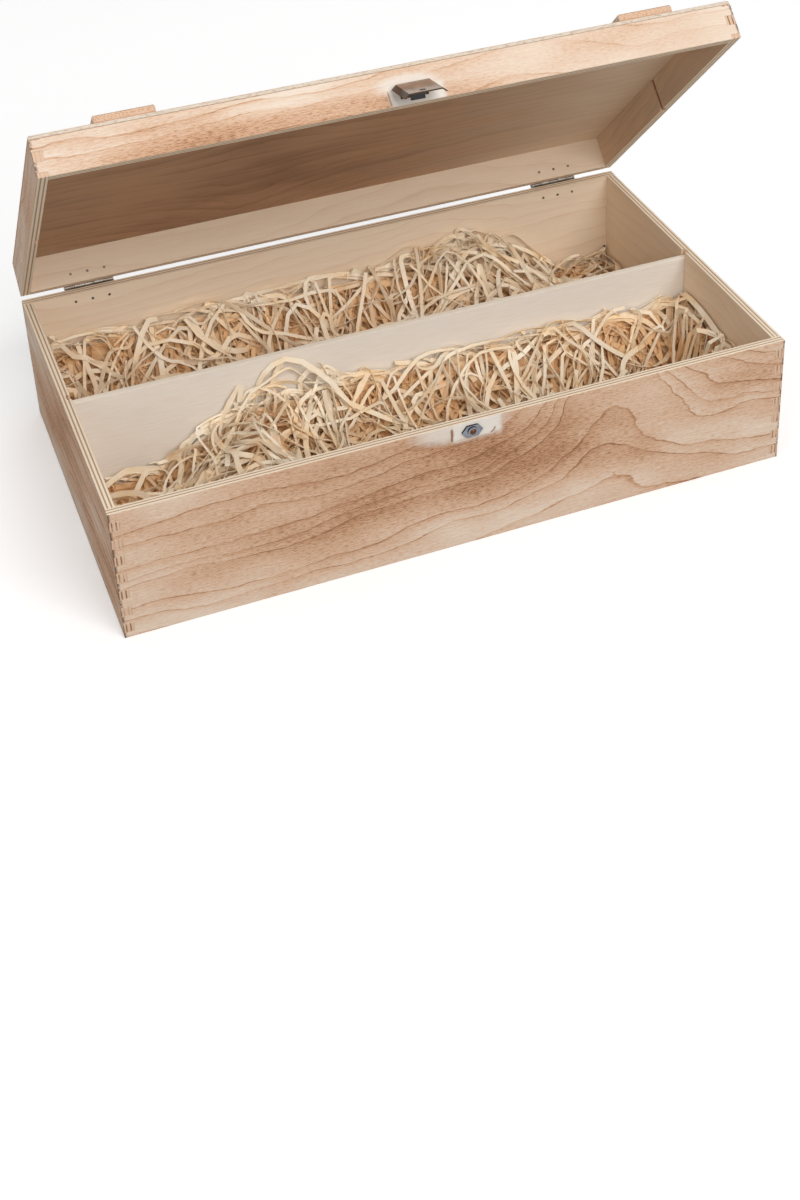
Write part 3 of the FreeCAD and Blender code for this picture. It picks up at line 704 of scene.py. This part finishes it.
# The ribbons' sizes, and their number on a square metre of bed
RIBBON_WIDTH = 2.0 * MM
RIBBON_LENGTH = 130 * MM
RIBBON_POINTS = 24
RIBBON_THINNESS = 0.1
RIBBONS_PER_AREA = 18500.0
SHORTEST_SHARE = 0.45
LONGEST_SHARE = 1.2
NARROWEST_SHARE = 0.55
FOLD_ANGLE = 1.0

# How they bend, curl, twist and pile up
BEND_SCALE = 16.0
BEND_REACH = (0.09, 0.09, 0.0)
CURL_REACH = 15 * MM
FEWEST_TURNS = 3.0
MORE_TURNS = 9.0
TWIST_SCALE = 18.0
TWIST_REACH = 5.0
PILE_HEIGHT = 9 * MM
PILE_SUNK = 0.25
WAVE_TURNS = 1.3
WAVE_SHARE = 0.7
TALL_FROM = 0.86
TALL_GAIN = 2.4
HEAP_REACH = (55 * MM, 30 * MM, 1.0)
HEAP_LIMITS = (1.0, 0.2)

# Factors that give a strand's number another share for each use
STRAND_NUMBERS = 100.0
TURNS_DRAW = 1.0
CURL_DRAW = 7.3
LAYER_DRAW = 3.7
TALL_DRAW = 5.3
WIDTH_DRAW = 11.9

# The room that the bed leaves
UPWARD = 0.1
RAY_HEIGHT = 1.0
WALL_GAP = 1.5 * MM
HEADROOM = 14 * MM
CORE_SINK = -4 * MM


def drawn(tree, given, number, low, high):
    """The tree's numbered random draw, between two limits."""
    inputs = {2: low, 3: high, "Seed": plus(tree, given["Seed"], number)}
    return node(tree, "FunctionNodeRandomValue", inputs).outputs[1]


def share(tree, strand, factor):
    """A strand's own share from 0 to 1, another one for each factor."""
    return maths(tree, "FRACT", times(tree, strand, factor))


def wander(tree, position, strand, scale, detail):
    """A noise that differs from strand to strand."""
    inputs = {"Vector": position, "W": strand, "Scale": scale, "Detail": detail}
    return node(tree, "ShaderNodeTexNoise", inputs, noise_dimensions="4D").outputs


def stored(tree, geometry, name, given, domain):
    """Geometry that carries a named number."""
    inputs = {"Geometry": geometry, "Name": name, "Value": given}
    return node(tree, "GeometryNodeStoreNamedAttribute", inputs, domain=domain).outputs[0]


def scattered_strands(tree, given, bed):
    """Straight strands of many lengths and directions, scattered over the top of a bed."""
    facing = parts(tree, node(tree, "GeometryNodeInputNormal").outputs[0])[2]
    upward = maths(tree, "GREATER_THAN", facing, UPWARD)
    scatter = node(tree, "GeometryNodeDistributePointsOnFaces",
                   {"Mesh": bed, "Selection": upward, "Density": given["Density"], "Seed": given["Seed"]})
    spin = vector(tree, z=drawn(tree, given, 1, 0.0, 2 * math.pi))
    spin = node(tree, "FunctionNodeEulerToRotation", {0: spin}).outputs[0]
    direction = node(tree, "FunctionNodeRotateRotation",
                     {"Rotation": scatter.outputs["Rotation"], "Rotate By": spin},
                     rotation_space="LOCAL").outputs[0]
    half = times(tree, given["Length"], 0.5)
    ends = {"Start": vector(tree, times(tree, half, -1.0)), "End": vector(tree, half)}
    line = node(tree, "GeometryNodeCurvePrimitiveLine", ends).outputs[0]
    line = node(tree, "GeometryNodeResampleCurve", {"Curve": line, "Count": RIBBON_POINTS}).outputs[0]
    stretch = drawn(tree, given, 2, SHORTEST_SHARE, LONGEST_SHARE)
    strands = node(tree, "GeometryNodeInstanceOnPoints",
                   {"Points": scatter.outputs["Points"], "Instance": line, "Rotation": direction,
                    "Scale": stretch}).outputs[0]
    strands = stored(tree, strands, "strand", drawn(tree, given, 3, 0.0, STRAND_NUMBERS), "INSTANCE")
    return node(tree, "GeometryNodeRealizeInstances", {"Geometry": strands}).outputs[0]


def curled_strands(tree, given, bed, strands, strand, position):
    """The strands bent, curled and laid on the bed's top, so that the nest stays open. Each rises and dips
    along its length, and carries how far it stands above the bed."""
    part = node(tree, "GeometryNodeSplineParameter").outputs["Factor"]
    bend = wander(tree, position, strand, BEND_SCALE, 1.0)["Color"]
    bend = stretched(tree, vector_maths(tree, "SUBTRACT", bend, (0.5, 0.5, 0.5)), BEND_REACH)
    turns = plus(tree, FEWEST_TURNS, times(tree, share(tree, strand, TURNS_DRAW), MORE_TURNS))
    angle = plus(tree, times(tree, part, turns), strand)
    reach = times(tree, given["Curl"], share(tree, strand, CURL_DRAW))
    swirl = vector(tree, times(tree, maths(tree, "COSINE", angle), reach),
                   times(tree, maths(tree, "SINE", angle), reach))
    moved = vector_maths(tree, "ADD", vector_maths(tree, "ADD", position, bend), swirl)
    moved = vector_maths(tree, "MAXIMUM", moved, given["Low"])
    moved = vector_maths(tree, "MINIMUM", moved, given["High"])

    flat_place = stretched(tree, moved, FLAT)
    above = vector_maths(tree, "ADD", flat_place, (0.0, 0.0, RAY_HEIGHT))
    ray = node(tree, "GeometryNodeRaycast",
               {"Target Geometry": bed, "Source Position": above, "Ray Direction": (0.0, 0.0, -1.0),
                "Ray Length": 2 * RAY_HEIGHT})
    rest_height = parts(tree, ray.outputs["Hit Position"])[2]
    off_heap = vector_maths(tree, "SUBTRACT", flat_place, given["Heap place"])
    off_heap = vector_maths(tree, "DIVIDE", off_heap, given["Heap reach"])
    in_heap = ease(tree, length_of(tree, off_heap), *HEAP_LIMITS)
    pile = plus(tree, given["Pile"], times(tree, in_heap, given["Heap"]))
    layer = times(tree, share(tree, strand, LAYER_DRAW), pile)
    wave = maths(tree, "SINE", plus(tree, times(tree, angle, WAVE_TURNS), strand))
    tall = maths(tree, "GREATER_THAN", share(tree, strand, TALL_DRAW), TALL_FROM)
    tall = plus(tree, 1.0, times(tree, times(tree, tall, in_heap), TALL_GAIN))
    wave_height = times(tree, maths(tree, "MINIMUM", layer, given["Pile"]), tall)
    wave = times(tree, times(tree, wave, wave_height), WAVE_SHARE)
    level = plus(tree, rest_height, plus(tree, layer, wave))
    level = minus(tree, level, times(tree, given["Pile"], PILE_SUNK))
    moved = vector_maths(tree, "ADD", flat_place, vector(tree, z=level))
    rise = over(tree, minus(tree, level, rest_height), given["Pile"])
    strands = stored(tree, strands, "rise", rise, "POINT")
    return node(tree, "GeometryNodeSetPosition", {"Geometry": strands, "Position": moved}).outputs[0]


def flat_ribbons(tree, given, strands, strand, position):
    """The strands as thin twisted ribbons of many widths, with sharp long edges."""
    twist = wander(tree, position, strand, TWIST_SCALE, 0.0)["Fac"]
    strands = node(tree, "GeometryNodeSetCurveTilt",
                   {"Curve": strands, "Tilt": times(tree, twist, TWIST_REACH)}).outputs[0]
    breadth = plus(tree, NARROWEST_SHARE, share(tree, strand, WIDTH_DRAW))
    thickness = times(tree, given["Width"], RIBBON_THINNESS)
    profile = node(tree, "GeometryNodeCurvePrimitiveQuadrilateral",
                   {"Width": given["Width"], "Height": thickness}).outputs[0]
    ribbons = node(tree, "GeometryNodeCurveToMesh",
                   {"Curve": strands, "Profile Curve": profile, "Scale": breadth,
                    "Fill Caps": True}).outputs[0]
    fold = node(tree, "GeometryNodeInputMeshEdgeAngle").outputs["Unsigned Angle"]
    long_edges = maths(tree, "GREATER_THAN", fold, FOLD_ANGLE)
    return node(tree, "GeometryNodeSetShadeSmooth",
                {"Geometry": ribbons, "Selection": long_edges, "Shade Smooth": False},
                domain="EDGE").outputs[0]


def wool_tree():
    """Curly ribbons scattered over the top of a bed, above a sunken copy of the bed whose colour is
    painted shade.
    """
    tree = bpy.data.node_groups.new("wood_wool_strands", "GeometryNodeTree")
    tree.interface.new_socket("Geometry", in_out="INPUT", socket_type="NodeSocketGeometry")
    inputs = {
        "Int": ("Seed",),
        "Float": ("Density", "Length", "Width", "Curl", "Pile", "Heap"),
        "Vector": ("Heap place", "Heap reach", "Low", "High"),
    }
    for kind, names in inputs.items():
        for name in names:
            tree.interface.new_socket(name, in_out="INPUT", socket_type="NodeSocket" + kind)
    tree.interface.new_socket("Geometry", in_out="OUTPUT", socket_type="NodeSocketGeometry")
    given = node(tree, "NodeGroupInput").outputs
    bed = node(tree, "GeometryNodeMergeByDistance", {"Geometry": given["Geometry"]}).outputs[0]

    strands = scattered_strands(tree, given, bed)
    strand = node(tree, "GeometryNodeInputNamedAttribute", {"Name": "strand"}).outputs[0]
    position = node(tree, "GeometryNodeInputPosition").outputs[0]
    strands = curled_strands(tree, given, bed, strands, strand, position)
    ribbons = flat_ribbons(tree, given, strands, strand, position)
    ribbons = node(tree, "GeometryNodeSetMaterial", {"Geometry": ribbons, "Material": SHAVING}).outputs[0]

    outward = node(tree, "GeometryNodeInputNormal").outputs[0]
    sink = stretched(tree, outward, (CORE_SINK, CORE_SINK, CORE_SINK))
    core = node(tree, "GeometryNodeSetPosition", {"Geometry": bed, "Offset": sink}).outputs[0]
    core = node(tree, "GeometryNodeSetMaterial", {"Geometry": core, "Material": WOOL_IN_PAINTED_SHADE}).outputs[0]
    both = node(tree, "GeometryNodeJoinGeometry")
    tree.links.new(core, both.inputs[0])
    tree.links.new(ribbons, both.inputs[0])
    node(tree, "NodeGroupOutput", {"Geometry": both.outputs[0]})
    return tree


WOOL = wool_tree()


def wool(bed_name, piece_name, seed, heap_x, heap_rise):
    """Fill one compartment with ribbons in place of its plain bed, heaped up beside the narrow end of its
    nest. The heap's place along the box and its rise are in millimetres."""
    low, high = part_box(bed_name)
    bed = nodes[bed_name]
    carrier = bpy.data.objects.new(piece_name + "_carrier", bed.data.copy())
    bpy.context.scene.collection.objects.link(carrier)
    modifier = carrier.modifiers.new("strands", "NODES")
    modifier.node_group = WOOL
    margin = Vector((WALL_GAP, WALL_GAP, WALL_GAP))
    settings = {
        "Seed": seed, "Density": RIBBONS_PER_AREA, "Length": RIBBON_LENGTH,
        "Width": RIBBON_WIDTH, "Curl": CURL_REACH, "Pile": PILE_HEIGHT, "Heap": heap_rise * MM,
        "Heap place": (heap_x * MM, high.y, 0.0), "Heap reach": HEAP_REACH,
        "Low": low + margin, "High": high - margin + Vector((0, 0, HEADROOM)),
    }
    for item in WOOL.interface.items_tree:
        if item.in_out == "INPUT" and item.name in settings:
            modifier[item.identifier] = settings[item.name]
    bpy.context.view_layer.update()
    graph = bpy.context.evaluated_depsgraph_get()
    mesh = bpy.data.meshes.new_from_object(carrier.evaluated_get(graph))
    bpy.data.objects.remove(carrier)
    mesh.name = piece_name
    piece = bpy.data.objects.new(piece_name, mesh)
    bpy.context.scene.collection.objects.link(piece)
    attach(piece, "case")
    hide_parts(bed_name)


wool("wood_wool_front", "shavings_front", 11, -75, 3)
wool("wood_wool_rear", "shavings_rear", 37, 80, 10)

# Stage, light and camera, in metres

WHITE = (1, 1, 1, 1)
FLOOR_SIDE = 6.0
FLOOR_GREY = (0.4, 0.39, 0.38, 1)
FLOOR_GLOW = 0.2
FLOOR_ROUGHNESS = 0.9
SKY_SEEN = 1.0
SKY_LIGHT = 0.3
BOX_MIDDLE = Vector((0, 0, 0.08))


def seen_rays(tree):
    """1 for what the camera sees, straight, in a reflection or through a thing, and 0 for other light."""
    rays = node(tree, "ShaderNodeLightPath").outputs
    seen = maths(tree, "MAXIMUM", rays["Is Camera Ray"], rays["Is Glossy Ray"])
    return maths(tree, "MAXIMUM", seen, rays["Is Transmission Ray"])


def stage_floor():
    """A wide white floor."""
    mesh = bpy.data.meshes.new("floor")
    corners = [(-FLOOR_SIDE, -FLOOR_SIDE, 0), (FLOOR_SIDE, -FLOOR_SIDE, 0),
               (FLOOR_SIDE, FLOOR_SIDE, 0), (-FLOOR_SIDE, FLOOR_SIDE, 0)]
    mesh.from_pydata(corners, [], [(0, 1, 2, 3)])
    floor = bpy.data.objects.new("floor", mesh)
    bpy.context.scene.collection.objects.link(floor)
    material, tree, shader = new_material("floor_white")[:3]
    seen = seen_rays(tree)
    tree.links.new(mixed(tree, seen, FLOOR_GREY, WHITE), shader.inputs["Base Color"])
    tree.links.new(times(tree, seen, FLOOR_GLOW), shader.inputs["Emission Strength"])
    shader.inputs["Emission Color"].default_value = WHITE
    shader.inputs["Roughness"].default_value = FLOOR_ROUGHNESS
    shader.inputs["Specular IOR Level"].default_value = 0.0
    mesh.materials.append(material)


def lamp(name, place, size, power):
    """A soft square lamp that points at the box."""
    light = bpy.data.lights.new(name, "AREA")
    light.shape = "SQUARE"
    light.size = size
    light.energy = power
    holder = bpy.data.objects.new(name, light)
    holder.location = place
    holder.rotation_mode = "QUATERNION"
    holder.rotation_quaternion = (BOX_MIDDLE - Vector(place)).to_track_quat("-Z", "Y")
    bpy.context.scene.collection.objects.link(holder)


def studio_sky():
    """A sky that looks white and lights the box softly."""
    world = bpy.data.worlds.new("studio")
    bpy.context.scene.world = world
    world.use_nodes = True
    sky = world.node_tree
    sky.nodes.clear()
    dim = node(sky, "ShaderNodeBackground", {"Color": WHITE, "Strength": SKY_LIGHT}).outputs[0]
    white = node(sky, "ShaderNodeBackground", {"Color": WHITE, "Strength": SKY_SEEN}).outputs[0]
    whole = node(sky, "ShaderNodeMixShader", {0: seen_rays(sky), 1: dim, 2: white}).outputs[0]
    node(sky, "ShaderNodeOutputWorld", {"Surface": whole})


stage_floor()
lamp("key", (0.5, -2.1, 1.9), size=2.0, power=51)
lamp("fill", (-1.9, -1.2, 1.2), size=1.6, power=8)
lamp("top", (0.0, 0.6, 2.4), size=1.6, power=14)
studio_sky()

PHOTO_WIDTH = 800
PHOTO_HEIGHT = 1200
FOCAL_PIXELS = 1907.0
CENTRE_PIXEL = (442, 240)
SENSOR_WIDTH = 36
EYE = Vector((-0.27214, -0.79284, 0.60854))
AIM = Vector((0.049578, 0.054801, 0.08))
ROLL = math.radians(-1.89805)

lens = bpy.data.cameras.new("camera")
lens.sensor_width = SENSOR_WIDTH
lens.lens = FOCAL_PIXELS * SENSOR_WIDTH / PHOTO_HEIGHT
lens.shift_x = (PHOTO_WIDTH / 2 - CENTRE_PIXEL[0]) / PHOTO_HEIGHT
lens.shift_y = (CENTRE_PIXEL[1] - PHOTO_HEIGHT / 2) / PHOTO_HEIGHT
camera = bpy.data.objects.new("camera", lens)
look = (AIM - EYE).to_track_quat("-Z", "Y").to_matrix().to_4x4()
camera.matrix_world = Matrix.Translation(EYE) @ look @ Matrix.Rotation(ROLL, 4, "Z")
bpy.context.scene.collection.objects.link(camera)
bpy.context.scene.camera = camera
bpy.context.scene.view_settings.view_transform = "Standard"
